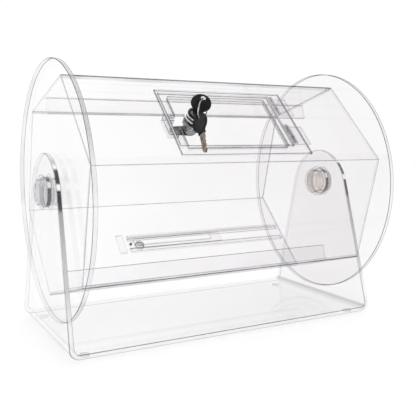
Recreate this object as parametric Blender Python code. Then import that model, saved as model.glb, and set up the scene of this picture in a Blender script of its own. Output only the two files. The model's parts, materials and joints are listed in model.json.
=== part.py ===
"""Clear acrylic raffle drum on a bent-sheet stand, with a locked door and a sliding ticket slot.

Metres, +Z up. The drum turns about X. The origin is on the ground under the middle of the stand,
and -Y is the front. Panels are modelled in a panel frame: x along the drum, y up the panel's slope
and z straight out from the drum's axis.
"""

import math

import bmesh
import bpy
from mathutils import Matrix, Vector

MM = 0.001
GAP = 0.3 * MM                      # between pieces that touch

# drum
INNER_HALF = 190.0 * MM             # axis centre to the inner face of an end disc
DISC_R = 151.7 * MM
DISC_T = 5.0 * MM
HEX_R = 136.0 * MM                  # outer corner of the hexagon
HEX_TURN = math.radians(14.7)       # first corner, from straight up towards the front
PANEL_T = 4.0 * MM
VANE_DEPTH = 20.0 * MM
VANE_T = 4.0 * MM

# stand
FOOT_H = 3.0 * MM
FOOT_R = 6.0 * MM
SHEET_T = 5.5 * MM
STAND_HALF = 206.5 * MM             # outer face of an upright, at the bend
LEAN = math.radians(1.2)            # the uprights close in a little towards the top
BASE_HALF_DEPTH = 101.3 * MM
BEND_R = 6.0 * MM                   # inside of the bend
UPRIGHT_TOP = 217.5 * MM
UPRIGHT_TOP_R = 58.0 * MM
AXIS_H = 172.5 * MM

# hubs
TUBE_R = 15.0 * MM
TUBE_BORE = 10.0 * MM
TUBE_IN = 186.7 * MM
TUBE_OUT = 211.3 * MM
TUBE_LIP_R = 17.5 * MM
SPACER_R = 21.0 * MM
SPACER_T = 1.6 * MM
BUSH_R = 17.5 * MM
BUSH_RIM_R = 20.6 * MM
BUSH_RIM_T = 2.0 * MM
BUSH_IN = 198.1 * MM
BUSH_SEAT = 203.9 * MM              # back of the bush's rim, clear of the leaning upright
RUN_GAP = 0.3 * MM
NUT_CORNER_R = 19.6 * MM
NUT_T = 2.4 * MM

# door, in the frame of the door panel
DOOR_Y = -6.4 * MM                  # middle of the door on the slope
RING_HALF_X = 87.0 * MM
RING_HALF_Y = 52.3 * MM
RING_T = 3.0 * MM
DOOR_LEFT = -87.0 * MM
DOOR_RIGHT = 63.4 * MM
DOOR_HALF_Y = 42.6 * MM
DOOR_T = 3.5 * MM
MOUTH_LEFT = -74.0 * MM
MOUTH_RIGHT = 58.0 * MM
MOUTH_HALF_Y = 39.5 * MM
NOTCH_LEFT = -83.5 * MM
NOTCH_HALF_Y = 8.0 * MM
NOTCH_CORNER = 4.0 * MM

# hinges
HINGE_X = 66.7 * MM
KNUCKLE_R = 2.8 * MM
PIN_R = 1.0 * MM
LEAF_T = 2.0 * MM
LEAF_LEFT = 58.0 * MM
LEAF_RIGHT = 90.0 * MM
HINGE_LEN = 30.0 * MM
HINGE_SPREAD = 24.5 * MM            # hinge middle, either side of the door's middle

# lock and keys
LOCK_X = -55.0 * MM
LOCK_BARREL_R = 9.0 * MM
LOCK_FLANGE_R = 11.8 * MM
BEZEL_R = 9.8 * MM
BEZEL_T = 6.0 * MM
PLUG_R = 6.0 * MM
CAM_REACH = 24.0 * MM
CAM_HALF_W = 6.0 * MM
CAM_T = 2.0 * MM
KEY_TURN = math.radians(-30.0)      # the key's flat, from x, about the panel's normal
KEY_HEAD_R = 11.4 * MM
KEY_HEAD_T = 3.0 * MM
KEY_HOLE_R = 3.0 * MM
KEY_HOLE_TO_HEAD = 7.5 * MM
KEY_TIP = 45.5 * MM                 # hole to the tip of the blade
BLADE_W = 7.4 * MM
BLADE_T = 2.0 * MM
KEY_HOLE_N = 37.2 * MM              # key hole above the panel's outer face
RING_WIRE_R = 0.75 * MM
SPARE_HOLE = Vector((-5.1, -13.8, 21.6)) * MM     # from the lock's axis, above the panel
SPARE_DOWN = Vector((-0.11, -0.975, -0.19)).normalized()
SPARE_TWIST = math.radians(-14.0)   # the spare's face, about its own length
RING_START = Vector((0.79, 0.60, -0.15)).normalized()     # the ring's run through the first key

# ticket slot, in the frame of the slot panel
SLOT_Y = -0.5 * MM
SLOT_LEFT = -57.5 * MM
SLOT_RIGHT = 63.5 * MM
SLOT_HALF_Y = 5.0 * MM
CHANNEL_HALF_Y = 9.0 * MM
RAIL_W = 8.0 * MM
RAIL_LIP = 3.0 * MM
RAIL_LIP_T = 2.0 * MM
RAIL_LEFT = -64.5 * MM
SLIDER_T = 2.5 * MM
SLIDER_LEFT = -65.0 * MM
SLIDER_RIGHT = 82.0 * MM
KNOB_X = -46.8 * MM
KNOB_R = 6.8 * MM
SCREW_X = -61.5 * MM
STOP_LEFT = -80.5 * MM
STOP_RIGHT = -70.5 * MM
STOP_HALF_Y = 15.4 * MM

ROUND = 64                          # sides of a large round piece
FINE = 40                           # sides of a small one

APOTHEM = HEX_R * math.cos(math.radians(30.0))


# ---------------------------------------------------------------- materials

def material(name, colour, roughness, metallic=0.0, alpha=1.0, ior=1.49):
    mat = bpy.data.materials.new(name)
    mat.use_nodes = True
    shader = mat.node_tree.nodes["Principled BSDF"]
    shader.inputs["Base Color"].default_value = (*colour, 1.0)
    shader.inputs["Roughness"].default_value = roughness
    shader.inputs["Metallic"].default_value = metallic
    shader.inputs["Alpha"].default_value = alpha
    shader.inputs["IOR"].default_value = ior
    return mat


def acrylic(name):
    return material(name, (0.94, 0.95, 0.97), 0.05, alpha=0.35)


# ---------------------------------------------------------------- shapes

def prism(outline, low, high, axis="z"):
    """A closed outline swept straight from low to high along one axis."""
    turn = {"z": lambda a, b, c: (a, b, c), "y": lambda a, b, c: (a, c, b),
            "x": lambda a, b, c: (c, a, b)}[axis]
    bm = bmesh.new()
    floor = [bm.verts.new(turn(a, b, low)) for a, b in outline]
    roof = [bm.verts.new(turn(a, b, high)) for a, b in outline]
    bm.faces.new(floor)
    bm.faces.new(roof)
    for i in range(len(outline)):
        j = (i + 1) % len(outline)
        bm.faces.new((floor[i], floor[j], roof[j], roof[i]))
    return bm


def box(x0, x1, y0, y1, z0, z1):
    return prism([(x0, y0), (x1, y0), (x1, y1), (x0, y1)], z0, z1)


def arc(cx, cy, radius, start, end, steps):
    """Points on an arc, angles in degrees."""
    angles = [math.radians(start + (end - start) * i / steps) for i in range(steps + 1)]
    return [(cx + radius * math.cos(a), cy + radius * math.sin(a)) for a in angles]


def rounded_rectangle(x0, x1, y0, y1, radius, steps=6):
    return (arc(x1 - radius, y1 - radius, radius, 0, 90, steps)
            + arc(x0 + radius, y1 - radius, radius, 90, 180, steps)
            + arc(x0 + radius, y0 + radius, radius, 180, 270, steps)
            + arc(x1 - radius, y0 + radius, radius, 270, 360, steps))


def turned(profile, sides, closed=False):
    """A profile of (radius, height) turned about z. A closed profile makes a ring."""
    bm = bmesh.new()
    rings = []
    for radius, height in profile:
        angles = [math.tau * i / sides for i in range(sides)]
        rings.append([bm.verts.new((radius * math.cos(a), radius * math.sin(a), height)) for a in angles])
    pairs = list(zip(rings, rings[1:]))
    if closed:
        pairs.append((rings[-1], rings[0]))
    for lower, upper in pairs:
        for i in range(sides):
            j = (i + 1) % sides
            bm.faces.new((lower[i], lower[j], upper[j], upper[i]))
    if not closed:
        bm.faces.new(rings[0])
        bm.faces.new(rings[-1])
    return bm


def ring(inner, outer, low, high, sides=ROUND, edge=0.4 * MM):
    """A flat ring about z with its outer edges eased."""
    profile = [(inner, low), (outer - edge, low), (outer, low + edge),
               (outer, high - edge), (outer - edge, high), (inner, high)]
    return turned(profile, sides, closed=True)


def rod(radius, low, high, sides=FINE):
    return turned([(radius, low), (radius, high)], sides)


def along_x(bm):
    """Turn a piece made about z so that it stands along x."""
    bm.transform(Matrix.Rotation(math.radians(90.0), 4, "Y"))
    return bm


def along_y(bm):
    """Turn a piece made about z so that it stands along y."""
    bm.transform(Matrix.Rotation(math.radians(-90.0), 4, "X"))
    return bm


def moved(bm, x=0.0, y=0.0, z=0.0):
    bm.transform(Matrix.Translation((x, y, z)))
    return bm


# ---------------------------------------------------------------- objects

def piece(name, bm, mat, frame, pivot=(0.0, 0.0, 0.0), smooth_deg=30.0):
    """An object whose origin is at the pivot, a point of the frame that the mesh is drawn in."""
    bmesh.ops.recalc_face_normals(bm, faces=bm.faces)
    bm.transform(Matrix.Translation(-Vector(pivot)))
    mesh = bpy.data.meshes.new(name)
    bm.to_mesh(mesh)
    bm.free()
    mesh.shade_smooth()
    mesh.set_sharp_from_angle(angle=math.radians(smooth_deg))
    obj = bpy.data.objects.new(name, mesh)
    bpy.context.collection.objects.link(obj)
    obj.matrix_world = frame @ Matrix.Translation(pivot)
    if mat:
        mesh.materials.append(mat)
    return obj


def tool(name, bm, frame, pivot=(0.0, 0.0, 0.0)):
    """A hidden piece that only cuts or joins others."""
    obj = piece(name, bm, None, frame, pivot)
    obj.hide_render = True
    obj.display_type = "WIRE"
    return obj


def combine(obj, other, operation):
    step = obj.modifiers.new(operation.lower(), "BOOLEAN")
    step.operation = operation
    step.object = other
    step.solver = "EXACT"


def cut(obj, other):
    combine(obj, other, "DIFFERENCE")


def join(obj, other):
    combine(obj, other, "UNION")


def panel_frame(index):
    """Panel 0 is the upper front one. The others follow it down the front and round."""
    lean = HEX_TURN + math.radians(30.0 + 60.0 * index)
    return Matrix.Translation((0.0, 0.0, AXIS_H)) @ Matrix.Rotation(lean, 4, "X")


WORLD = Matrix.Identity(4)
DRUM = Matrix.Translation((0.0, 0.0, AXIS_H))
DOOR_PANEL = panel_frame(0)
SLOT_PANEL = panel_frame(3)


def out(height):
    """A height above a panel's outer face, as a distance from the drum's axis."""
    return APOTHEM + height


# ---------------------------------------------------------------- stand

def make_stand():
    sheet = acrylic("stand_acrylic")
    outer = BEND_R + SHEET_T
    bend_x = STAND_HALF - outer
    bend_z = FOOT_H + outer
    lean = math.degrees(LEAN)
    crown = UPRIGHT_TOP + 1 * MM

    def crown_x(radius):
        """Half width at the crown of the face that leaves the bend at this radius."""
        rise = crown - bend_z - radius * math.sin(LEAN)
        return bend_x + radius * math.cos(LEAN) - rise * math.tan(LEAN)

    path = [(-crown_x(outer), crown)]
    path += arc(-bend_x, bend_z, outer, 180 - lean, 270, 8)
    path += arc(bend_x, bend_z, outer, 270, 360 + lean, 8)
    path += [(crown_x(outer), crown), (crown_x(BEND_R), crown)]
    path += arc(bend_x, bend_z, BEND_R, 360 + lean, 270, 8)
    path += arc(-bend_x, bend_z, BEND_R, 270, 180 - lean, 8)
    path += [(-crown_x(BEND_R), crown)]
    stand = piece("stand_sheet", prism(path, -BASE_HALF_DEPTH, BASE_HALF_DEPTH, "y"), sheet, WORLD)

    # both uprights taper from the full depth of the base to a round top
    centre_z = UPRIGHT_TOP - UPRIGHT_TOP_R
    reach = math.hypot(BASE_HALF_DEPTH, centre_z - bend_z)
    tangent = math.degrees(math.asin(UPRIGHT_TOP_R / reach)
                           - math.atan2(BASE_HALF_DEPTH, centre_z - bend_z)) + 90.0
    side = 90.0 - tangent
    outline = [(BASE_HALF_DEPTH + 1 * MM, 0.0), (BASE_HALF_DEPTH + 1 * MM, bend_z), (BASE_HALF_DEPTH, bend_z)]
    outline += arc(0.0, centre_z, UPRIGHT_TOP_R, side, 180.0 - side, 32)
    outline += [(-y, z) for y, z in reversed(outline[:3])]
    profile = tool("upright_outline", prism(outline, -STAND_HALF - 5 * MM, STAND_HALF + 5 * MM, "x"), WORLD)
    combine(stand, profile, "INTERSECT")
    bore = along_x(rod(BUSH_R + GAP, -STAND_HALF - 5 * MM, STAND_HALF + 5 * MM, ROUND))
    cut(stand, tool("bush_bore", bore, DRUM))

    rubber = material("foot_clear_vinyl", (0.80, 0.81, 0.83), 0.35, alpha=0.6)
    for i, (x, y) in enumerate([(-1, -1), (1, -1), (1, 1), (-1, 1)]):
        dome = [(FOOT_R * 0.55, 0.0), (FOOT_R * 0.85, 0.5 * MM), (FOOT_R, 1.6 * MM), (FOOT_R, FOOT_H - GAP)]
        foot = moved(turned(dome, FINE), 185.0 * MM * x, 84.0 * MM * y)
        piece(f"foot_{i + 1}", foot, rubber, WORLD)

    nylon = material("bush_nylon", (0.82, 0.80, 0.77), 0.3, alpha=0.7)
    rim_out = BUSH_SEAT + BUSH_RIM_T
    for name, side in (("left", -1), ("right", 1)):
        bush = turned([(TUBE_R + RUN_GAP, BUSH_IN), (BUSH_R, BUSH_IN), (BUSH_R, BUSH_SEAT),
                       (BUSH_RIM_R - 0.5 * MM, BUSH_SEAT), (BUSH_RIM_R, BUSH_SEAT + 0.5 * MM),
                       (BUSH_RIM_R, rim_out - 0.5 * MM), (BUSH_RIM_R - 0.5 * MM, rim_out),
                       (TUBE_R + RUN_GAP, rim_out)], ROUND, closed=True)
        piece(f"bearing_bush_{name}", handed(along_x(bush), side), nylon, DRUM)


def handed(bm, side):
    """Mirror a right-hand piece to the left-hand end."""
    if side < 0:
        bm.transform(Matrix.Scale(-1.0, 4, (1.0, 0.0, 0.0)))
        bmesh.ops.reverse_faces(bm, faces=bm.faces)
    return bm


# ---------------------------------------------------------------- drum

def make_ends():
    clear = acrylic("disc_acrylic")
    hub = acrylic("hub_acrylic")
    for name, side in (("left", -1), ("right", 1)):
        disc = ring(TUBE_R + GAP, DISC_R, INNER_HALF, INNER_HALF + DISC_T, 128, 0.3 * MM)
        piece(f"end_disc_{name}", handed(along_x(disc), side), clear, DRUM)

        # a lip inside the disc, and a few thread crests at the outer end
        lip_end = INNER_HALF - GAP
        wall = [(TUBE_BORE, TUBE_IN), (TUBE_LIP_R - 0.5 * MM, TUBE_IN), (TUBE_LIP_R, TUBE_IN + 0.5 * MM),
                (TUBE_LIP_R, lip_end), (TUBE_R, lip_end)]
        low = BUSH_SEAT + BUSH_RIM_T + RUN_GAP
        crest = low + NUT_T * 0.3
        wall.append((TUBE_R, crest))
        for _ in range(4):
            wall += [(TUBE_R - 0.7 * MM, crest + 0.5 * MM), (TUBE_R, crest + 1.0 * MM)]
            crest += 1.0 * MM
        wall += [(TUBE_R - 0.5 * MM, TUBE_OUT), (TUBE_BORE, TUBE_OUT)]
        piece(f"hub_tube_{name}", handed(along_x(turned(wall, ROUND, closed=True)), side), hub, DRUM)

        face = INNER_HALF + DISC_T + GAP
        spacer = ring(TUBE_R + GAP, SPACER_R, face, face + SPACER_T)
        piece(f"hub_spacer_{name}", handed(along_x(spacer), side), hub, DRUM)

        hexagon = [(NUT_CORNER_R * math.cos(math.tau * i / 6), NUT_CORNER_R * math.sin(math.tau * i / 6))
                   for i in range(6)]
        nut = piece(f"hub_nut_{name}", handed(along_x(prism(hexagon, low, low + NUT_T)), side), hub, DRUM)
        nut_bore = along_x(rod(TUBE_R + GAP, low - 1 * MM, low + 5 * MM, ROUND))
        cut(nut, tool(f"nut_bore_{name}", handed(nut_bore, side), DRUM))


def make_panels():
    names = ["door_panel", "front_panel", "bottom_panel", "slot_panel", "rear_panel", "top_panel"]
    clear = acrylic("panel_acrylic")
    mitre = 0.5 * GAP / math.cos(math.radians(30.0))
    half_out = HEX_R / 2 - mitre
    half_in = half_out - PANEL_T * math.tan(math.radians(30.0))
    end = INNER_HALF - GAP
    panels = {}
    for index, name in enumerate(names):
        section = [(-half_in, out(-PANEL_T)), (half_in, out(-PANEL_T)), (half_out, out(0.0)), (-half_out, out(0.0))]
        panels[name] = piece(name, prism(section, -end, end, "x"), clear, panel_frame(index))

    vane = acrylic("vane_acrylic")
    for name, index in (("mixing_vane_top", 5), ("mixing_vane_bottom", 2)):
        depth = box(-end, end, -VANE_T / 2, VANE_T / 2, out(-PANEL_T - GAP - VANE_DEPTH), out(-PANEL_T - GAP))
        piece(name, depth, vane, panel_frame(index))
    return panels


def mouth_outline(grow=0.0):
    """The door opening, with the notch that lets the lock's cam pass."""
    left, right = MOUTH_LEFT - grow, MOUTH_RIGHT + grow
    low, high = DOOR_Y - MOUTH_HALF_Y - grow, DOOR_Y + MOUTH_HALF_Y + grow
    notch_low, notch_high = DOOR_Y - NOTCH_HALF_Y - grow, DOOR_Y + NOTCH_HALF_Y + grow
    notch_x = NOTCH_LEFT - grow + NOTCH_CORNER
    outline = [(left, low), (right, low), (right, high), (left, high), (left, notch_high)]
    outline += arc(notch_x, notch_high - NOTCH_CORNER, NOTCH_CORNER, 90, 180, 6)
    outline += arc(notch_x, notch_low + NOTCH_CORNER, NOTCH_CORNER, 180, 270, 6)
    outline += [(left, notch_low)]
    return outline


def make_doorway(door_panel):
    mouth = prism(mouth_outline(), out(-PANEL_T - 1 * MM), out(RING_T + 2 * MM))
    mouth = tool("mouth", mouth, DOOR_PANEL)
    cut(door_panel, mouth)

    frame = prism(rounded_rectangle(-RING_HALF_X, RING_HALF_X, DOOR_Y - RING_HALF_Y, DOOR_Y + RING_HALF_Y,
                                    1.0 * MM, 3), out(GAP), out(GAP + RING_T))
    frame = piece("door_frame", frame, acrylic("door_frame_acrylic"), DOOR_PANEL)
    cut(frame, mouth)

    # the keeper backs the border on both sides of the notch, just above the cam
    block = rounded_rectangle(NOTCH_LEFT - 3.5 * MM, MOUTH_LEFT + 1.0 * MM,
                              DOOR_Y - NOTCH_HALF_Y - 7.0 * MM, DOOR_Y + NOTCH_HALF_Y + 7.0 * MM, 3.0 * MM)
    keeper = prism(block, out(-PANEL_T - GAP - 6.4 * MM), out(-PANEL_T - GAP))
    keeper = piece("cam_keeper", keeper, acrylic("keeper_acrylic"), DOOR_PANEL)
    notch = rounded_rectangle(NOTCH_LEFT, MOUTH_LEFT + 8.0 * MM, DOOR_Y - NOTCH_HALF_Y, DOOR_Y + NOTCH_HALF_Y,
                              NOTCH_CORNER)
    cut(keeper, tool("keeper_notch", prism(notch, out(-15 * MM), out(0.0)), DOOR_PANEL))


def hinge_height():
    """Axis height that lets the barrel touch the planes of both leaves."""
    return RING_T + 2 * GAP + KNUCKLE_R + 0.2 * MM


def make_hinges():
    leaf_mat = acrylic("hinge_acrylic")
    pin_mat = material("hinge_pin_acrylic", (0.75, 0.77, 0.80), 0.15, alpha=0.5)
    axis_n = out(hinge_height())
    third = HINGE_LEN / 3
    door_top = RING_T + 2 * GAP + DOOR_T + GAP
    clear = KNUCKLE_R + 0.4 * MM
    for number, sign in ((1, 1), (2, -1)):
        middle = DOOR_Y + sign * HINGE_SPREAD
        pivot = (HINGE_X, middle, axis_n)
        low, high = middle - HINGE_LEN / 2, middle + HINGE_LEN / 2

        fixed = piece(f"hinge_{number}_fixed_leaf",
                      box(HINGE_X, LEAF_RIGHT, low, high, out(RING_T + 2 * GAP), out(RING_T + 2 * GAP + LEAF_T)),
                      leaf_mat, DOOR_PANEL, pivot)
        moving = piece(f"hinge_{number}_moving_leaf",
                       box(LEAF_LEFT, HINGE_X, middle - third / 2 + GAP, middle + third / 2 - GAP,
                           out(door_top), out(door_top + LEAF_T)),
                       leaf_mat, DOOR_PANEL, pivot)
        strip = box(LEAF_LEFT, HINGE_X - clear, low, high, out(door_top), out(door_top + LEAF_T))
        join(moving, tool(f"leaf_strip_{number}", strip, DOOR_PANEL, pivot))

        def barrel(tag, start, end):
            return tool(f"{tag}_{number}", moved(along_y(rod(KNUCKLE_R, start, end)), HINGE_X, 0.0, axis_n),
                        DOOR_PANEL, pivot)

        gap_box = box(HINGE_X - 6 * MM, HINGE_X + clear, middle - third / 2, middle + third / 2,
                      axis_n - 4 * MM, axis_n + 4 * MM)
        join(fixed, barrel("fixed_barrel", low, high))
        cut(fixed, tool(f"knuckle_gap_{number}", gap_box, DOOR_PANEL, pivot))
        join(moving, barrel("moving_barrel", middle - third / 2 + GAP, middle + third / 2 - GAP))
        bore = tool(f"pin_bore_{number}",
                    moved(along_y(rod(PIN_R + GAP, low - 1 * MM, high + 1 * MM, 24)), HINGE_X, 0.0, axis_n),
                    DOOR_PANEL, pivot)
        cut(fixed, bore)
        cut(moving, bore)
        pin = moved(along_y(rod(PIN_R, low, high, 24)), HINGE_X, 0.0, axis_n)
        piece(f"hinge_{number}_pin", pin, pin_mat, DOOR_PANEL, pivot)


# ---------------------------------------------------------------- door and lock

DOOR_LOW = RING_T + 2 * GAP         # heights above the panel's outer face
DOOR_HIGH = DOOR_LOW + DOOR_T
LOCK_BOTTOM = -10.7 * MM
CAM_TOP = LOCK_BOTTOM - 2 * GAP


def make_door():
    pivot = (HINGE_X, DOOR_Y, out(hinge_height()))
    plate = box(DOOR_LEFT, DOOR_RIGHT, DOOR_Y - DOOR_HALF_Y, DOOR_Y + DOOR_HALF_Y, out(DOOR_LOW), out(DOOR_HIGH))
    plate = piece("door_plate", plate, acrylic("door_acrylic"), DOOR_PANEL, pivot)
    hole = moved(rod(LOCK_BARREL_R + GAP, out(DOOR_LOW) - 1 * MM, out(DOOR_HIGH) + 1 * MM), LOCK_X, DOOR_Y)
    cut(plate, tool("lock_hole", hole, DOOR_PANEL, pivot))

    chrome = material("lock_chrome", (0.62, 0.63, 0.65), 0.18, 1.0)
    seat = out(DOOR_HIGH + GAP)
    shell = [(PLUG_R + GAP, out(LOCK_BOTTOM)), (LOCK_BARREL_R, out(LOCK_BOTTOM)), (LOCK_BARREL_R, seat),
             (LOCK_FLANGE_R - 0.3 * MM, seat), (LOCK_FLANGE_R, seat + 0.3 * MM), (LOCK_FLANGE_R, seat + 0.9 * MM),
             (LOCK_FLANGE_R - 1.2 * MM, seat + 1.5 * MM), (PLUG_R + GAP, seat + 1.5 * MM)]
    piece("lock_body", moved(turned(shell, FINE, closed=True), LOCK_X, DOOR_Y), chrome, DOOR_PANEL, pivot)

    # the black bezel has one groove round its side and a dished face about the plug
    black = material("bezel_black", (0.03, 0.03, 0.032), 0.3)
    low = seat + 1.5 * MM + GAP
    high = seat + 1.5 * MM + BEZEL_T
    rim = [(PLUG_R + GAP, low), (BEZEL_R, low), (BEZEL_R, low + 1.6 * MM), (BEZEL_R - 0.7 * MM, low + 2.0 * MM),
           (BEZEL_R - 0.7 * MM, low + 2.8 * MM), (BEZEL_R, low + 3.2 * MM), (BEZEL_R, high - 0.7 * MM),
           (BEZEL_R - 0.7 * MM, high), (PLUG_R + 1.4 * MM, high), (PLUG_R + GAP, high - 0.8 * MM)]
    piece("lock_bezel", moved(turned(rim, FINE, closed=True), LOCK_X, DOOR_Y), black, DOOR_PANEL, pivot)

    zinc = material("lock_zinc", (0.45, 0.46, 0.48), 0.35, 1.0)
    hexagon = [(13.0 * MM * math.cos(math.tau * i / 6), 13.0 * MM * math.sin(math.tau * i / 6)) for i in range(6)]
    nut = moved(prism(hexagon, out(DOOR_LOW - GAP - 3.5 * MM), out(DOOR_LOW - GAP)), LOCK_X, DOOR_Y)
    nut = piece("lock_nut", nut, zinc, DOOR_PANEL, pivot)
    bore = moved(rod(LOCK_BARREL_R + GAP, out(-5 * MM), out(DOOR_LOW + 1 * MM)), LOCK_X, DOOR_Y)
    cut(nut, tool("lock_nut_bore", bore, DOOR_PANEL, pivot))


def make_plug():
    pivot = (LOCK_X, DOOR_Y, out(DOOR_HIGH))
    steel = material("plug_steel", (0.55, 0.55, 0.56), 0.3, 1.0)
    black = material("cam_black", (0.02, 0.02, 0.022), 0.4, 0.6)
    face = DOOR_HIGH + GAP + 1.5 * MM + BEZEL_T - 0.7 * MM
    tail_r = 3.0 * MM
    tail_low = CAM_TOP - CAM_T - GAP
    profile = [(tail_r, out(tail_low)), (tail_r, out(LOCK_BOTTOM - GAP)), (PLUG_R, out(LOCK_BOTTOM - GAP)),
               (PLUG_R, out(face - 0.5 * MM)), (PLUG_R - 0.5 * MM, out(face))]
    plug = piece("lock_plug", moved(turned(profile, FINE), LOCK_X, DOOR_Y), steel, DOOR_PANEL, pivot)
    keyway = box(-BLADE_W / 2 - GAP, BLADE_W / 2 + GAP, -BLADE_T / 2 - GAP, BLADE_T / 2 + GAP,
                 out(LOCK_BOTTOM + 0.4 * MM), out(face + 1 * MM))
    keyway.transform(Matrix.Rotation(KEY_TURN, 4, "Z"))
    cut(plug, tool("keyway", moved(keyway, LOCK_X, DOOR_Y), DOOR_PANEL, pivot))

    blade = arc(0.0, 0.0, CAM_HALF_W + 1.5 * MM, -90, 90, 12)
    tip_x = -CAM_REACH + CAM_HALF_W
    blade += arc(tip_x, 0.0, CAM_HALF_W, 90, 270, 14)
    cam = piece("lock_cam", moved(prism(blade, out(CAM_TOP - CAM_T), out(CAM_TOP)), LOCK_X, DOOR_Y),
                black, DOOR_PANEL, pivot)
    hole = moved(rod(tail_r + GAP, out(CAM_TOP - CAM_T) - 1 * MM, out(CAM_TOP) + 1 * MM, 32), LOCK_X, DOOR_Y)
    cut(cam, tool("cam_hole", hole, DOOR_PANEL, pivot))

    head_high = tail_low - GAP
    screw_low = out(head_high - 1.9 * MM)
    screw = [(3.4 * MM, screw_low), (4.2 * MM, screw_low + 0.8 * MM), (4.2 * MM, out(head_high)),
             (1.2 * MM, out(head_high)), (1.2 * MM, out(head_high + 4.0 * MM))]
    screw = piece("cam_screw", moved(turned(screw, 32), LOCK_X, DOOR_Y), steel, DOOR_PANEL, pivot)
    cross = tool("screw_slot", moved(box(-3 * MM, 3 * MM, -0.5 * MM, 0.5 * MM, screw_low - 1 * MM,
                                         screw_low + 0.7 * MM), LOCK_X, DOOR_Y), DOOR_PANEL, pivot)
    cut(screw, cross)
    hole = moved(rod(1.5 * MM, out(tail_low) - 1 * MM, out(tail_low) + 4.6 * MM, 24), LOCK_X, DOOR_Y)
    cut(plug, tool("tail_hole", hole, DOOR_PANEL, pivot))


def make_key(prefix, frame):
    """A key about its ring hole: blade down along -z, flat across y."""
    black = material(f"{prefix}_black_plastic", (0.022, 0.022, 0.024), 0.35)
    steel = material(f"{prefix}_nickel", (0.52, 0.48, 0.43), 0.3, 1.0)
    head_bottom = -KEY_HOLE_TO_HEAD - 14.6 * MM
    neck = 5.2 * MM
    join_angle = -math.degrees(math.acos(neck / KEY_HEAD_R))
    outline = arc(0.0, -KEY_HOLE_TO_HEAD, KEY_HEAD_R, join_angle, 180.0 - join_angle, 40)
    outline += [(-neck, head_bottom), (neck, head_bottom)]
    head = piece(f"{prefix}_head", prism(outline, -KEY_HEAD_T / 2, KEY_HEAD_T / 2, "y"), black, frame)
    ease = head.modifiers.new("ease", "BEVEL")
    ease.width = 0.5 * MM
    ease.segments = 2
    ease.limit_method = "ANGLE"
    ease.angle_limit = math.radians(40.0)
    cut(head, tool(f"{prefix}_hole", along_y(rod(KEY_HOLE_R, -5 * MM, 5 * MM, 32)), frame))
    tang_top = head_bottom + 7.0 * MM
    pocket = box(-BLADE_W / 2 - GAP, BLADE_W / 2 + GAP, -BLADE_T / 2 - GAP, BLADE_T / 2 + GAP,
                 head_bottom - 1 * MM, tang_top + GAP)
    cut(head, tool(f"{prefix}_pocket", pocket, frame))

    edge = [(-BLADE_W / 2, tang_top), (-BLADE_W / 2, -KEY_TIP + 3 * MM), (-1.2 * MM, -KEY_TIP),
            (0.8 * MM, -KEY_TIP)]
    bitting = [(2.6, 3.0), (2.6, 4.6), (1.5, 6.4), (2.9, 8.2), (2.9, 9.6), (1.9, 11.4), (3.1, 13.2), (3.1, 14.4),
               (2.2, 16.0), (BLADE_W / 2 / MM, 18.0)]
    edge += [(x * MM, -KEY_TIP + z * MM) for x, z in bitting]
    edge += [(BLADE_W / 2, tang_top)]
    piece(f"{prefix}_blade", prism(edge, -BLADE_T / 2, BLADE_T / 2, "y"), steel, frame)


def make_keys():
    first = Vector((LOCK_X, DOOR_Y, out(KEY_HOLE_N)))
    second = Vector((LOCK_X, DOOR_Y, out(0.0))) + SPARE_HOLE
    make_key("key", DOOR_PANEL @ Matrix.Translation(first) @ Matrix.Rotation(KEY_TURN, 4, "Z"))

    up = -SPARE_DOWN
    normal = (Vector((1.0, 0.0, 0.0)) - up * up.x).normalized()
    normal = math.cos(SPARE_TWIST) * normal + math.sin(SPARE_TWIST) * normal.cross(up)
    turn = Matrix((normal.cross(up), normal, up)).transposed().to_4x4()
    make_key("spare_key", DOOR_PANEL @ Matrix.Translation(second) @ turn)

    # the circle that leaves the first hole along RING_START and passes through the second
    chord = second - first
    inward = (chord - RING_START * chord.dot(RING_START)).normalized()
    radius = chord.length_squared / (2.0 * chord.dot(inward))
    wire = []
    for i in range(8):
        a = math.tau * i / 8
        wire.append((radius + RING_WIRE_R * math.cos(a), RING_WIRE_R * math.sin(a)))
    turn = Matrix((-inward, RING_START, RING_START.cross(inward))).transposed().to_4x4()
    hoop = turned(wire, 48, closed=True)
    hoop.transform(Matrix.Translation(first + inward * radius) @ turn)
    piece("key_ring", hoop, material("ring_steel", (0.7, 0.7, 0.72), 0.15, 1.0), DOOR_PANEL, first)


# ---------------------------------------------------------------- ticket slot

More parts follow.
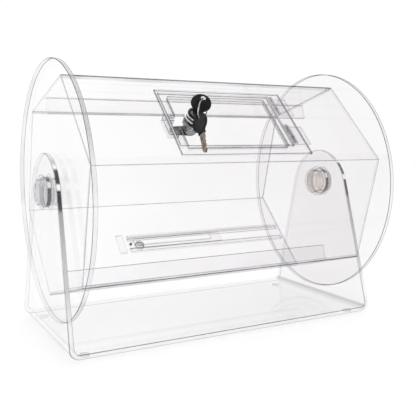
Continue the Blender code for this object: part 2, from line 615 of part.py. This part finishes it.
def make_slot(slot_panel):
    slot = rounded_rectangle(SLOT_LEFT, SLOT_RIGHT, SLOT_Y - SLOT_HALF_Y, SLOT_Y + SLOT_HALF_Y, 1.5 * MM, 4)
    cut(slot_panel, tool("ticket_slot", prism(slot, out(-PANEL_T - 1 * MM), out(1 * MM)), SLOT_PANEL))

    clear = acrylic("rail_acrylic")
    seat = out(GAP)
    lip_low = seat + SLIDER_T + 2 * GAP
    lip_high = lip_low + RAIL_LIP_T
    end = INNER_HALF - GAP
    wall = CHANNEL_HALF_Y
    section = [(wall, seat), (wall + RAIL_W - RAIL_LIP, seat), (wall + RAIL_W - RAIL_LIP, lip_high),
               (wall - RAIL_LIP, lip_high), (wall - RAIL_LIP, lip_low), (wall, lip_low)]
    for name, sign in (("slot_rail_upper", -1), ("slot_rail_lower", 1)):
        shape = [(SLOT_Y + sign * y, z) for y, z in section]
        piece(name, prism(shape, RAIL_LEFT, end, "x"), clear, SLOT_PANEL)

    stop = box(STOP_LEFT, STOP_RIGHT, SLOT_Y - STOP_HALF_Y, SLOT_Y + STOP_HALF_Y, seat, lip_low)
    piece("slot_stop", stop, clear, SLOT_PANEL)

    pivot = (KNOB_X, SLOT_Y, seat)
    half = CHANNEL_HALF_Y - GAP
    slider = box(SLIDER_LEFT, SLIDER_RIGHT, SLOT_Y - half, SLOT_Y + half, seat + GAP, seat + GAP + SLIDER_T)
    slider = piece("slot_slider", slider, acrylic("slider_acrylic"), SLOT_PANEL, pivot)
    top = seat + GAP + SLIDER_T
    hole = moved(rod(1.0 * MM + GAP, top - 3 * MM, top + 1 * MM, 24), SCREW_X, SLOT_Y)
    cut(slider, tool("screw_hole", hole, SLOT_PANEL, pivot))

    knob = [(3.2 * MM, top + GAP), (3.2 * MM, top + 2.2 * MM), (KNOB_R - 0.6 * MM, top + 2.6 * MM),
            (KNOB_R, top + 3.2 * MM), (KNOB_R, top + 6.0 * MM), (KNOB_R - 1.0 * MM, top + 7.0 * MM)]
    piece("slider_knob", moved(turned(knob, FINE), KNOB_X, SLOT_Y), acrylic("knob_acrylic"), SLOT_PANEL, pivot)

    dark = material("screw_dark_steel", (0.12, 0.12, 0.13), 0.35, 1.0)
    head = [(1.0 * MM, top - 2.2 * MM), (1.0 * MM, top + GAP), (2.0 * MM, top + GAP), (2.0 * MM, top + 0.9 * MM),
            (1.4 * MM, top + 1.3 * MM)]
    piece("slider_screw", moved(turned(head, 24), SCREW_X, SLOT_Y), dark, SLOT_PANEL, pivot)


def main():
    for obj in list(bpy.data.objects):
        bpy.data.objects.remove(obj, do_unlink=True)
    make_stand()
    make_ends()
    panels = make_panels()
    make_doorway(panels["door_panel"])
    make_hinges()
    make_door()
    make_plug()
    make_keys()
    make_slot(panels["slot_panel"])


main()
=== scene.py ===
"""Looks for the clear acrylic raffle drum: clear sheet with drawn edges, lock, keys and studio."""

import json
import math

import bmesh
import bpy
from mathutils import Matrix, Vector


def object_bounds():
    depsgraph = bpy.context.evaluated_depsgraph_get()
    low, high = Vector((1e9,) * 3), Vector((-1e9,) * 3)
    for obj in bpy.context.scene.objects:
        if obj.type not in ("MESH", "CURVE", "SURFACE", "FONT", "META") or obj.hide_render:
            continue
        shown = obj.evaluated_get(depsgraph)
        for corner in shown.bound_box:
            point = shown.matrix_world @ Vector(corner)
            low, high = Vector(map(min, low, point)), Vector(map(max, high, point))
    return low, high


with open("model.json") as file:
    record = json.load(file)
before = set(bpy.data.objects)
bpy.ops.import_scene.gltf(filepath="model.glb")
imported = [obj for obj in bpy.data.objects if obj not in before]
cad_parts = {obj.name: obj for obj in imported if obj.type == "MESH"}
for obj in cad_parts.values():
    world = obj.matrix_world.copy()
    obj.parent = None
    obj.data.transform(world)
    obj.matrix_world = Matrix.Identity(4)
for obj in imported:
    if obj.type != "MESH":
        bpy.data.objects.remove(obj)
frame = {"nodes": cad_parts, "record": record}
cad_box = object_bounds()
NODES = frame["nodes"]
JOINTS = {j["name"]: j for j in frame["record"]["behaviour"]["joints"]}
MM = 0.001

# the object
ALONG = Vector((1.0, 0.0, 0.0))     # the drum's axis
BACK = Vector((0.0, 1.0, 0.0))
UP = Vector((0.0, 0.0, 1.0))
AXLE = Vector(JOINTS["drum_spin"]["pos_m"])
DOOR_NORMAL = Vector(JOINTS["lock_turn"]["axis"])
LOCK = Vector(JOINTS["lock_turn"]["pos_m"])
APOTHEM = 117.78 * MM               # axle to a panel's outer face
PANELS = ("door_panel", "front_panel", "bottom_panel", "slot_panel", "rear_panel", "top_panel")
PANEL_STEP = math.radians(60.0)
SLOT_INDEX = 3
VANES = (("mixing_vane_top", 5), ("mixing_vane_bottom", 2))     # each on the panel of that index
BEND_TOP = (20.5 * MM, 22.5 * MM)   # between these heights the stand's bends turn into its uprights

# clear sheet
FLAT = (0.93, 0.97)                 # how squarely a broad face lies along the sheet's normal
CUT = (0.52, 0.60)                  # a cut edge lies below this, an eased corner above it
SEAM = (1.5 * MM, 1.3 * MM)         # a panel's seam line is drawn down to this depth under its skin
MIRROR = 0.5                        # share of a bare acrylic surface's mirror
ACRYLIC_IOR = 1.49
# painted shade: tones of the dark line drawn along each eased corner, where refraction darkens it
CREASE_SHADE_TONES = [(0.38, (0.020, 0.018, 0.018)), (0.62, (0.13, 0.122, 0.122))]
WELD_REACH = 0.01 * MM
CORNER_ANGLE = math.radians(30.0)

# an upright's cut edge, by height as a share of EDGE_RUN, drawn in painted light and shade: pale at the bend,
# then grey, then black and white by turns near the crown, the black painted shade and the white painted
# highlights
EDGE_RUN = 0.22
EDGE_LIGHT_AND_SHADE_TONES = [(0.02, 0.88, 0.01), (0.14, 0.93, 0.0), (0.30, 0.60, 0.01), (0.60, 0.42, 0.01),
              (0.70, 0.36, 0.0), (0.72, 0.04, 0.0), (0.805, 0.03, 0.0), (0.815, 0.99, 0.0),
              (0.835, 0.99, 0.0), (0.845, 0.04, 0.0), (0.905, 0.04, 0.0), (0.92, 0.98, 0.0),
              (0.945, 0.40, 0.0), (1.0, 0.62, 0.0)]
EDGE_OPACITY = [(0.02, 0.25), (0.14, 0.45), (0.30, 0.75), (0.72, 0.95), (0.93, 0.95), (0.96, 0.5),
                (1.0, 0.3)]
REARWARD = (-0.01, 0.03)            # the rear edges, behind this y, are drawn fainter

# the lock, by height above the door's outer face
FLANGE_FOOT = (-0.4 * MM, 0.0)
THREAD_PITCH = 1.6 * MM
BRIGHT_RING = (3.3 * MM, 3.5 * MM, 4.9 * MM, 5.1 * MM)

# the studio
FLOOR_REACH = 6.0
FLOOR_GLOW = 0.6                    # share of the floor's light that is its own, as on a light table
WORLD_WHITE = 1.03
LAMPS = (("key_light", (-0.9, -1.1, 1.7), 1.4, 3.0), ("fill_light", (1.3, -0.5, 1.2), 1.6, 1.5),
         ("top_light", (0.1, 0.5, 2.0), 1.8, 2.5))
CAMERA_PLACE = (-0.3875, -0.7214, 0.2367)
CAMERA_TURN = (math.radians(90.0 - 6.52), math.radians(-0.12), math.radians(-29.10))
CAMERA_LENS = 54.28


# ---------------------------------------------------------------- node helpers

class Tree:
    """Short names for building one material's nodes."""

    def __init__(self, name):
        self.material = bpy.data.materials.new(name)
        self.material.use_nodes = True
        self.nodes = self.material.node_tree.nodes
        self.links = self.material.node_tree.links
        self.nodes.clear()

    def add(self, kind, **settings):
        node = self.nodes.new(kind)
        for key, value in settings.items():
            setattr(node, key, value)
        return node

    def plug(self, value, socket):
        if isinstance(value, bpy.types.NodeSocket):
            self.links.new(value, socket)
        else:
            socket.default_value = value

    def math(self, operation, a, b=0.0, c=0.0):
        node = self.add("ShaderNodeMath", operation=operation)
        for value, socket in zip((a, b, c), node.inputs):
            self.plug(value, socket)
        return node.outputs[0]

    def dot(self, vector, axis):
        node = self.add("ShaderNodeVectorMath", operation="DOT_PRODUCT")
        self.plug(vector, node.inputs[0])
        self.plug(tuple(axis), node.inputs[1])
        return node.outputs["Value"]

    def remap(self, value, low, high, to_low=0.0, to_high=1.0, smooth=True):
        node = self.add("ShaderNodeMapRange")
        node.interpolation_type = "SMOOTHSTEP" if smooth else "LINEAR"
        for v, key in ((value, "Value"), (low, "From Min"), (high, "From Max"), (to_low, "To Min"),
                       (to_high, "To Max")):
            self.plug(v, node.inputs[key])
        return node.outputs["Result"]

    def position(self, scale=1.0):
        """Object coordinates, which are metres of the frame at rest, times scale."""
        coords = self.add("ShaderNodeTexCoord")
        mapping = self.add("ShaderNodeMapping")
        mapping.inputs["Scale"].default_value = scale if isinstance(scale, tuple) else (scale,) * 3
        self.links.new(coords.outputs["Object"], mapping.inputs["Vector"])
        return mapping.outputs["Vector"]

    def along(self, axis):
        """How far the point lies along an axis of the frame."""
        return self.dot(self.position(), axis)

    def normal(self):
        """The flat face normal in the piece's own space."""
        geometry = self.add("ShaderNodeNewGeometry")
        turn = self.add("ShaderNodeVectorTransform", vector_type="NORMAL")
        turn.convert_from, turn.convert_to = "WORLD", "OBJECT"
        self.links.new(geometry.outputs["True Normal"], turn.inputs[0])
        return turn.outputs[0]

    def noise(self, vector, scale, detail=2.0, rough=0.5, distortion=0.0):
        node = self.add("ShaderNodeTexNoise")
        for v, key in ((vector, "Vector"), (scale, "Scale"), (detail, "Detail"), (rough, "Roughness"),
                       (distortion, "Distortion")):
            self.plug(v, node.inputs[key])
        return node.outputs["Fac"]

    def ramp(self, value, stops):
        node = self.add("ShaderNodeValToRGB")
        bar = node.color_ramp
        while len(bar.elements) < len(stops):
            bar.elements.new(0.5)
        for element, (place, colour) in zip(bar.elements, stops):
            element.position = place
            element.color = (*colour, 1.0)
        self.plug(value, node.inputs["Fac"])
        return node.outputs["Color"]

    def blend(self, factor, a, b):
        """The colour a turning into b, which is an output or a fixed colour."""
        node = self.add("ShaderNodeMix", data_type="RGBA")
        self.plug(factor, node.inputs[0])
        self.plug(a, node.inputs[6])
        self.plug((*b, 1.0) if isinstance(b, tuple) else b, node.inputs[7])
        return node.outputs[2]

    def mix(self, factor, a, b):
        node = self.add("ShaderNodeMixShader")
        self.plug(factor, node.inputs["Fac"])
        self.links.new(a, node.inputs[1])
        self.links.new(b, node.inputs[2])
        return node.outputs[0]

    def bump(self, height, distance, strength=1.0):
        node = self.add("ShaderNodeBump")
        node.inputs["Strength"].default_value = strength
        node.inputs["Distance"].default_value = distance
        self.plug(height, node.inputs["Height"])
        return node.outputs["Normal"]

    def mirror_share(self, strength):
        """How much a clear face mirrors, the same from either side of it."""
        weight = self.add("ShaderNodeLayerWeight")
        weight.inputs["Blend"].default_value = 0.5
        grazing = self.math("POWER", weight.outputs["Facing"], 5.0)
        return self.math("MULTIPLY_ADD", grazing, 0.96 * strength, 0.04 * strength)

    def finish(self, shader):
        output = self.add("ShaderNodeOutputMaterial")
        self.links.new(shader, output.inputs["Surface"])
        return self.material


def grey(value, blue=0.0):
    return (value, value, value + blue)


# ---------------------------------------------------------------- acrylic

def sheet_masks(t, normal, axis, skin):
    """Where a flat sheet is broad face, and where its rim is cut edge and not a drawn line."""
    facing = t.math("ABSOLUTE", t.dot(normal, axis))
    face = t.remap(facing, *FLAT)
    if skin is None:
        return face, t.remap(facing, *CUT, 1.0, 0.0)
    return face, t.remap(t.along(axis), skin - SEAM[0], skin - SEAM[1], 1.0, 0.0, False)


def stand_masks(t, normal, height, across):
    """The same for the bent stand, whose cut edges face front and back and round over the uprights."""
    high = t.remap(height, *BEND_TOP)
    low = t.math("SUBTRACT", 1.0, high)
    sideways = t.math("ABSOLUTE", t.dot(normal, BACK))
    face = t.math("ADD", t.math("MULTIPLY", high, t.remap(across, *FLAT)),
                  t.math("MULTIPLY", low, t.remap(sideways, 0.05, 0.12, 1.0, 0.0)))
    band = t.math("ADD", t.math("MULTIPLY", high, t.remap(across, 0.15, 0.30, 1.0, 0.0)),
                  t.math("MULTIPLY", low, t.remap(sideways, 0.90, 0.97)))
    return face, band


def bend_stripe(t, shade, height, across):
    """The bends gather the light, so they read as a greyer stripe along the foot of each upright."""
    bend = t.math("MULTIPLY", t.remap(across, 0.15, 0.5), t.remap(across, 0.80, 0.97, 1.0, 0.0))
    bend = t.math("MULTIPLY", bend, t.remap(height, 0.014, 0.020, 1.0, 0.0))
    return t.blend(bend, shade, (0.78, 0.77, 0.775))


def edge_look(t, normal, runs, edge, dark, ends, crown):
    """Tone and opacity of a cut edge: bright and dark runs along it, as light is piped to it."""
    tone = t.ramp(runs, [(0.30, grey(dark * 0.25)), (0.44, grey(dark)), (0.58, grey(0.78, 0.01)),
                         (0.70, grey(0.97, 0.01))])
    opacity = t.remap(runs, 0.35, 0.62, min(edge * 2.2, 1.0), edge, False)
    if ends is not None:
        end = t.remap(t.math("ABSOLUTE", t.dot(normal, ALONG)), 0.85, 0.95)
        opacity = t.math("MAXIMUM", opacity, t.math("MULTIPLY", end, ends[0]))
        tone = t.blend(end, tone, grey(ends[1]))
    # crown: painted shade, greying the upper front run of a disc's rim
    if crown:
        front = t.remap(t.along(BACK), -0.02, 0.03, 1.0, 0.0)
        high = t.math("MULTIPLY", t.remap(t.along(UP), 0.19, 0.25), front)
        opacity = t.math("MAXIMUM", opacity, t.math("MULTIPLY", high, crown))
        tone = t.blend(high, tone, grey(0.40))
    return tone, opacity


def upright_look(t, height):
    """The same for the stand's edge, painted light and shade by height, and fainter at the rear."""
    place = t.remap(height, 0.0, EDGE_RUN, 0.0, 1.0, False)
    tone = t.ramp(place, [(at, grey(value, blue)) for at, value, blue in EDGE_LIGHT_AND_SHADE_TONES])
    opacity = t.ramp(place, [(at, grey(value)) for at, value in EDGE_OPACITY])
    return tone, t.math("MULTIPLY", opacity, t.remap(t.along(BACK), *REARWARD, 1.0, 0.10, False))


def clear_sheet(name, axis, tint=0.974, edge=0.3, crease=1.0, dark=0.5, stand=False, seed=0.0, skin=None,
                through=(0.94, 0.94, 0.955), ends=None, crown=0.0):
    """Clear sheet whose broad faces are nearly invisible and whose cut edges show.

    axis is the sheet's own normal. The cut edges are the faces turned away from it, and the eased
    corners between the two are the darkest lines, painted shade where refraction darkens them. skin is
    how far along axis the sheet's outer face lies, for a sheet whose inner corners are hidden in a glued
    seam. ends is the opacity and grey of the two cut ends across X, and crown how grey the upper front
    run of a disc's rim is, a painted shade there.
    """
    t = Tree(name)
    normal = t.normal()
    if stand:
        height = t.along(UP)
        across = t.math("ABSOLUTE", t.dot(normal, ALONG))
        face, band = stand_masks(t, normal, height, across)
    else:
        face, band = sheet_masks(t, normal, axis, skin)

    # broad face: a breath of tint with painted shade deepening it to the right, a mirror by angle, wipe marks
    # and scratches
    haze = t.noise(t.position(7.0), 1.0, 3.0, 0.6)
    # painted shade: the face tone darkens from left to right across the drum
    rightward_shade = t.remap(t.along(ALONG), -0.21, 0.21, -0.35, 0.55, False)
    light = (min(tint + 0.014, 1.0), min(tint + 0.012, 1.0), min(tint + 0.014, 1.0))
    deep = (tint - 0.013, tint - 0.017, tint - 0.014)
    shade = t.ramp(t.math("ADD", haze, rightward_shade), [(0.05, light), (0.95, deep)])
    if stand:
        shade = bend_stripe(t, shade, height, across)
    clear = t.add("ShaderNodeBsdfTransparent")
    t.links.new(shade, clear.inputs["Color"])
    gloss = t.add("ShaderNodeBsdfGlossy")
    gloss.inputs["Color"].default_value = (1.0, 1.0, 1.0, 1.0)
    scratch = t.noise(t.position((900.0, 40.0, 40.0)), 1.0, 4.0, 0.7)
    t.plug(t.remap(scratch, 0.55, 0.8, 0.01, 0.05), gloss.inputs["Roughness"])
    t.plug(t.bump(haze, 0.1 * MM, 0.15), gloss.inputs["Normal"])
    broad = t.mix(t.mirror_share(MIRROR), clear.outputs[0], gloss.outputs[0])

    # cut edge, with fine saw marks
    runs = t.noise(t.position(16.0), 1.0, 2.0, 0.5, 0.3 + seed)
    tone, opacity = upright_look(t, height) if stand else edge_look(t, normal, runs, edge, dark, ends, crown)
    saw = t.noise(t.position(1400.0), 1.0, 1.0)
    cut = t.add("ShaderNodeBsdfPrincipled")
    t.plug(tone, cut.inputs["Base Color"])
    cut.inputs["Roughness"].default_value = 0.12
    cut.inputs["IOR"].default_value = ACRYLIC_IOR
    t.plug(t.bump(saw, 0.02 * MM, 0.3), cut.inputs["Normal"])
    passing = t.add("ShaderNodeBsdfTransparent")
    passing.inputs["Color"].default_value = (*through, 1.0)
    edge_shader = t.mix(opacity, passing.outputs[0], cut.outputs[0])

    # eased corner: a thin dark line, painted shade for the darkening that refraction gives the corner
    line = t.add("ShaderNodeBsdfDiffuse")
    t.plug(t.ramp(runs, CREASE_SHADE_TONES), line.inputs["Color"])
    behind = t.add("ShaderNodeBsdfTransparent")
    drawn = crease
    if stand:
        front = t.remap(t.along(BACK), *REARWARD, 1.0, 0.5, False)
        drawn = t.math("MULTIPLY", front, t.remap(height, 0.02, 0.06, 0.75 * crease, 0.5 * crease, False))
    corner = t.mix(drawn, behind.outputs[0], line.outputs[0])

    rim = t.mix(band, corner, edge_shader)
    return t.finish(t.mix(face, rim, broad))


def eased(node, width, clamp=False):
    """A small real bevel on a CAD node, after welding the seams that the import leaves."""
    obj = NODES[node]
    weld = obj.modifiers.new("weld", "WELD")
    weld.merge_threshold = WELD_REACH
    bevel = obj.modifiers.new("eased", "BEVEL")
    bevel.width = width
    bevel.segments = 1
    bevel.limit_method = "ANGLE"
    bevel.angle_limit = CORNER_ANGLE
    bevel.use_clamp_overlap = clamp
    return obj


def wear(obj, material):
    obj.data.materials.clear()
    obj.data.materials.append(material)


def panel_normal(index):
    """Outward normal of a drum panel: 0 is the door's, and the rest follow it down the front."""
    return Matrix.Rotation(PANEL_STEP * index, 3, ALONG) @ DOOR_NORMAL


def dress_acrylic():
    wear(eased("stand_sheet", 0.75 * MM), clear_sheet("acrylic_stand", ALONG, 0.972, crease=0.9, stand=True))
    # crown is how strongly painted shade greys the upper front run of each disc's rim
    for side, crown in (("left", 0.6), ("right", 0.15)):
        wear(eased(f"end_disc_{side}", 0.5 * MM, clamp=True),
             clear_sheet(f"acrylic_disc_{side}", ALONG, 0.976, 0.12, 0.85, 0.5, crown=crown))

    for index, name in enumerate(PANELS):
        normal = panel_normal(index)
        wear(eased(name, 0.5 * MM),
             clear_sheet(f"acrylic_{name}", normal, 0.985, 0.08, 0.54, 0.5, seed=0.1 * index,
                         skin=AXLE.dot(normal) + APOTHEM))
    for name, index in VANES:
        across = ALONG.cross(panel_normal(index))
        wear(eased(name, 0.5 * MM), clear_sheet(f"acrylic_{name}", across, 0.992, 0.12, 0.8, 0.6))

    door_frame = clear_sheet("acrylic_door_frame", DOOR_NORMAL, 0.988, 0.10, 0.75, 0.45, ends=(0.8, 0.30))
    wear(eased("door_frame", 0.55 * MM), door_frame)
    wear(eased("cam_keeper", 0.4 * MM), clear_sheet("acrylic_keeper", DOOR_NORMAL, 0.94, 0.35, 1.0, 0.4))
    door = clear_sheet("acrylic_door", DOOR_NORMAL, 0.988, 0.10, 0.75, 0.4, ends=(0.85, 0.62))
    wear(eased("door_plate", 0.6 * MM), door)

    slot_normal = panel_normal(SLOT_INDEX)
    for name, line in (("rail_upper", 0.6), ("rail_lower", 0.6), ("stop", 1.0), ("slider", 1.0)):
        wear(eased(f"slot_{name}", 0.45 * MM),
             clear_sheet(f"acrylic_slot_{name}", slot_normal, 0.988, 0.06, line, 0.5))
    hinge = clear_sheet("acrylic_hinge", DOOR_NORMAL, 0.965, 0.22, 0.30, 0.8)
    for number in (1, 2):
        for part in ("fixed_leaf", "moving_leaf"):
            wear(eased(f"hinge_{number}_{part}", 0.25 * MM), hinge)


def clear_solid(name, tint, density, roughness=0.06):
    """Small moulded clear plastic, seen by its rims and its gloss."""
    t = Tree(name)
    clear = t.add("ShaderNodeBsdfTransparent")
    clear.inputs["Color"].default_value = (*tint, 1.0)
    body = t.add("ShaderNodeBsdfPrincipled")
    mottle = t.noise(t.position(140.0), 1.0, 3.0, 0.6)
    t.plug(t.ramp(mottle, [(0.3, grey(0.45)), (0.6, grey(0.92))]), body.inputs["Base Color"])
    body.inputs["Roughness"].default_value = roughness
    body.inputs["IOR"].default_value = ACRYLIC_IOR
    t.plug(t.bump(mottle, 0.1 * MM, 0.3), body.inputs["Normal"])
    weight = t.add("ShaderNodeLayerWeight")
    weight.inputs["Blend"].default_value = 0.35
    share = t.remap(weight.outputs["Facing"], 0.35, 0.97, density, 0.8)
    return t.finish(t.mix(share, clear.outputs[0], body.outputs[0]))


def dress_solids():
    for side, bore in (("left", (0.975, 0.975, 0.98)), ("right", (0.96, 0.925, 0.90))):
        wear(eased(f"hub_tube_{side}", 0.3 * MM),
             clear_sheet(f"hub_tube_{side}_clear", ALONG, 0.975, 0.05, 0.45, 0.3, through=bore))
        wear(eased(f"bearing_bush_{side}", 0.35 * MM),
             clear_sheet(f"nylon_{side}", ALONG, 0.975, 0.06, 0.35, 0.6, through=(0.975, 0.97, 0.96)))
        wear(eased(f"hub_spacer_{side}", 0.3 * MM),
             clear_sheet(f"acrylic_spacer_{side}", ALONG, 0.985, 0.05, 0.4, 0.6))
        wear(eased(f"hub_nut_{side}", 0.35 * MM),
             clear_sheet(f"acrylic_nut_{side}", ALONG, 0.98, 0.06, 0.5, 0.5))
    vinyl = clear_solid("foot_vinyl", (0.90, 0.90, 0.92), 0.25, 0.3)
    for number in range(1, 5):
        wear(NODES[f"foot_{number}"], vinyl)
    knob = clear_sheet("knob_clear", panel_normal(SLOT_INDEX), 0.96, 0.35, 0.9, 0.3)
    wear(eased("slider_knob", 0.4 * MM), knob)
    pin = clear_solid("hinge_pin_clear", (0.90, 0.90, 0.92), 0.15)
    for number in (1, 2):
        wear(NODES[f"hinge_{number}_pin"], pin)


# ---------------------------------------------------------------- metal and plastic

def metal(name, colour, roughness, brushed=0.0, spread=0.08, scale=60.0):
    """Plated or turned metal with faint patches and a fine grain."""
    t = Tree(name)
    shader = t.add("ShaderNodeBsdfPrincipled")
    shader.inputs["Metallic"].default_value = 1.0
    patch = t.noise(t.position(scale), 1.0, 4.0, 0.6)
    low = tuple(max(c - spread, 0.0) for c in colour)
    high = tuple(min(c + spread, 1.0) for c in colour)
    t.plug(t.ramp(patch, [(0.3, low), (0.7, high)]), shader.inputs["Base Color"])
    t.plug(t.remap(patch, 0.25, 0.75, roughness * 0.7, roughness * 1.5), shader.inputs["Roughness"])
    grain = t.noise(t.position(900.0), 1.0, 3.0, 0.6)
    t.plug(t.bump(grain, 0.02 * MM, 0.15 + brushed), shader.inputs["Normal"])
    return t.finish(shader.outputs[0])


def black_plastic(name, base=0.006, roughness=0.45):
    """Black moulding with a fine texture, rubbed smoother in places."""
    t = Tree(name)
    shader = t.add("ShaderNodeBsdfPrincipled")
    grain = t.noise(t.position(2600.0), 1.0, 2.0)
    rub = t.noise(t.position(120.0), 1.0, 4.0, 0.6)
    t.plug(t.ramp(rub, [(0.35, grey(base)), (0.8, grey(base * 2.6))]), shader.inputs["Base Color"])
    t.plug(t.remap(rub, 0.3, 0.8, roughness, roughness * 0.6), shader.inputs["Roughness"])
    t.plug(t.bump(grain, 0.03 * MM, 0.4), shader.inputs["Normal"])
    shader.inputs["Specular IOR Level"].default_value = 0.22
    return t.finish(shader.outputs[0])


def lock_depth(t):
    """Height above the door's outer face, along the lock."""
    return t.math("SUBTRACT", t.along(DOOR_NORMAL), LOCK.dot(DOOR_NORMAL))


def threaded_chrome():
    """Bright flange outside the door, duller barrel with thread lines inside it, the lines painted shade in
    the thread grooves.
    """
    t = Tree("lock_chrome")
    depth = lock_depth(t)
    inside = t.remap(depth, *FLANGE_FOOT, 1.0, 0.0)
    groove = t.math("SINE", t.math("MULTIPLY", depth, math.tau / THREAD_PITCH))
    shader = t.add("ShaderNodeBsdfPrincipled")
    shader.inputs["Metallic"].default_value = 1.0
    patch = t.noise(t.position(90.0), 1.0, 4.0, 0.6)
    bright = t.ramp(patch, [(0.3, grey(0.80)), (0.7, grey(0.93, 0.01))])
    # painted shade: the dark half of each stripe darkens the barrel where a thread groove lies
    barrel = t.ramp(t.remap(groove, -0.6, 0.6, 0.0, 1.0, False), [(0.2, grey(0.12)), (0.8, grey(0.50, 0.01))])
    t.plug(t.blend(inside, bright, barrel), shader.inputs["Base Color"])
    t.plug(t.remap(patch, 0.25, 0.75, 0.05, 0.16), shader.inputs["Roughness"])
    t.plug(t.bump(t.math("MULTIPLY", groove, inside), 0.12 * MM, 0.8), shader.inputs["Normal"])
    return t.finish(shader.outputs[0])


def ringed_bezel():
    """Black bezel with one bright turned ring round it."""
    t = Tree("bezel_black")
    depth = lock_depth(t)
    foot, low, high, top = BRIGHT_RING
    band = t.math("MULTIPLY", t.remap(depth, foot, low), t.remap(depth, high, top, 1.0, 0.0))
    rub = t.noise(t.position(120.0), 1.0, 4.0, 0.6)
    shader = t.add("ShaderNodeBsdfPrincipled")
    t.plug(t.blend(band, t.ramp(rub, [(0.35, grey(0.006)), (0.8, grey(0.018))]), grey(0.92)),
           shader.inputs["Base Color"])
    t.plug(band, shader.inputs["Metallic"])
    t.plug(t.remap(rub, 0.3, 0.8, 0.28, 0.14), shader.inputs["Roughness"])
    shader.inputs["Specular IOR Level"].default_value = 0.35
    return t.finish(shader.outputs[0])


def dress_lock():
    wear(eased("lock_body", 0.15 * MM), threaded_chrome())
    wear(eased("lock_bezel", 0.15 * MM), ringed_bezel())
    wear(eased("lock_nut", 0.3 * MM), metal("lock_zinc", (0.42, 0.43, 0.45), 0.3))
    wear(eased("lock_plug", 0.15 * MM), metal("plug_steel", (0.50, 0.50, 0.51), 0.25))
    wear(eased("cam_screw", 0.15 * MM), metal("screw_steel", (0.55, 0.55, 0.56), 0.3))
    wear(eased("lock_cam", 0.25 * MM), black_plastic("cam_black", 0.012, 0.35))
    blade = metal("key_nickel", (0.33, 0.285, 0.24), 0.24, 0.3, 0.15, (260.0, 260.0, 120.0))
    head = black_plastic("key_black")
    for key in ("key", "spare_key"):
        wear(eased(f"{key}_head", 0.3 * MM), head)
        wear(eased(f"{key}_blade", 0.15 * MM), blade)
    wear(NODES["key_ring"], metal("ring_steel", (0.62, 0.62, 0.64), 0.12))
    wear(eased("slider_screw", 0.1 * MM), metal("screw_dark", (0.10, 0.10, 0.11), 0.3, spread=0.04))


# ---------------------------------------------------------------- studio

def lay_floor():
    floor_mesh = bpy.data.meshes.new("floor")
    bm = bmesh.new()
    corners = ((-1, -1), (1, -1), (1, 1), (-1, 1))
    bm.faces.new([bm.verts.new((x * FLOOR_REACH, y * FLOOR_REACH, cad_box[0][2])) for x, y in corners])
    bm.to_mesh(floor_mesh)
    bm.free()
    floor = bpy.data.objects.new("floor", floor_mesh)
    bpy.context.scene.collection.objects.link(floor)
    t = Tree("floor_white")
    shader = t.add("ShaderNodeBsdfPrincipled")
    fleck = t.noise(t.position(3.0), 1.0, 2.0)
    t.plug(t.ramp(fleck, [(0.3, grey(0.965)), (0.7, grey(0.975))]), shader.inputs["Base Color"])
    shader.inputs["Roughness"].default_value = 0.6
    lit = t.add("ShaderNodeEmission")
    lit.inputs["Strength"].default_value = 1.012
    wear(floor, t.finish(t.mix(FLOOR_GLOW, shader.outputs[0], lit.outputs[0])))


def surround():
    """White all round, but what a gloss mirrors falls to grey towards the front."""
    world = bpy.data.worlds.new("studio")
    bpy.context.scene.world = world
    world.use_nodes = True
    nodes, links = world.node_tree.nodes, world.node_tree.links
    nodes.clear()
    coords = nodes.new("ShaderNodeTexCoord")
    split = nodes.new("ShaderNodeSeparateXYZ")
    links.new(coords.outputs["Generated"], split.inputs[0])
    spread = nodes.new("ShaderNodeMapRange")
    spread.inputs["From Min"].default_value = -1.0
    links.new(split.outputs["Y"], spread.inputs["Value"])
    ramp = nodes.new("ShaderNodeValToRGB")
    front, back = ramp.color_ramp.elements
    front.position, front.color = 0.30, (0.20, 0.20, 0.21, 1.0)
    back.position, back.color = 0.62, (1.0, 1.0, 1.0, 1.0)
    links.new(spread.outputs[0], ramp.inputs["Fac"])
    shaded = nodes.new("ShaderNodeBackground")
    links.new(ramp.outputs[0], shaded.inputs["Color"])
    white = nodes.new("ShaderNodeBackground")
    white.inputs["Color"].default_value = (1.0, 1.0, 1.0, 1.0)
    white.inputs["Strength"].default_value = WORLD_WHITE
    path = nodes.new("ShaderNodeLightPath")
    mix = nodes.new("ShaderNodeMixShader")
    links.new(path.outputs["Is Glossy Ray"], mix.inputs[0])
    links.new(white.outputs[0], mix.inputs[1])
    links.new(shaded.outputs[0], mix.inputs[2])
    output = nodes.new("ShaderNodeOutputWorld")
    links.new(mix.outputs[0], output.inputs[0])


def hang_lamps():
    middle = (Vector(cad_box[0]) + Vector(cad_box[1])) / 2
    for name, place, size, power in LAMPS:
        lamp = bpy.data.lights.new(name, "AREA")
        lamp.size = size
        lamp.energy = power
        obj = bpy.data.objects.new(name, lamp)
        obj.location = place
        obj.rotation_euler = (middle - Vector(place)).to_track_quat("-Z", "Y").to_euler()
        bpy.context.scene.collection.objects.link(obj)


def set_camera():
    camera = bpy.data.cameras.new("camera")
    camera.lens = CAMERA_LENS
    camera.sensor_width = 36.0
    camera.clip_start = 0.01
    view = bpy.data.objects.new("camera", camera)
    view.location = CAMERA_PLACE
    view.rotation_euler = CAMERA_TURN
    scene = bpy.context.scene
    scene.collection.objects.link(view)
    scene.camera = view
    scene.view_settings.view_transform = "Standard"
    scene.view_settings.look = "None"
    scene.cycles.max_bounces = 32
    scene.cycles.transparent_max_bounces = 64
    scene.cycles.transmission_bounces = 24
    scene.cycles.glossy_bounces = 6


dress_acrylic()
dress_solids()
dress_lock()
lay_floor()
surround()
hang_lamps()
set_camera()
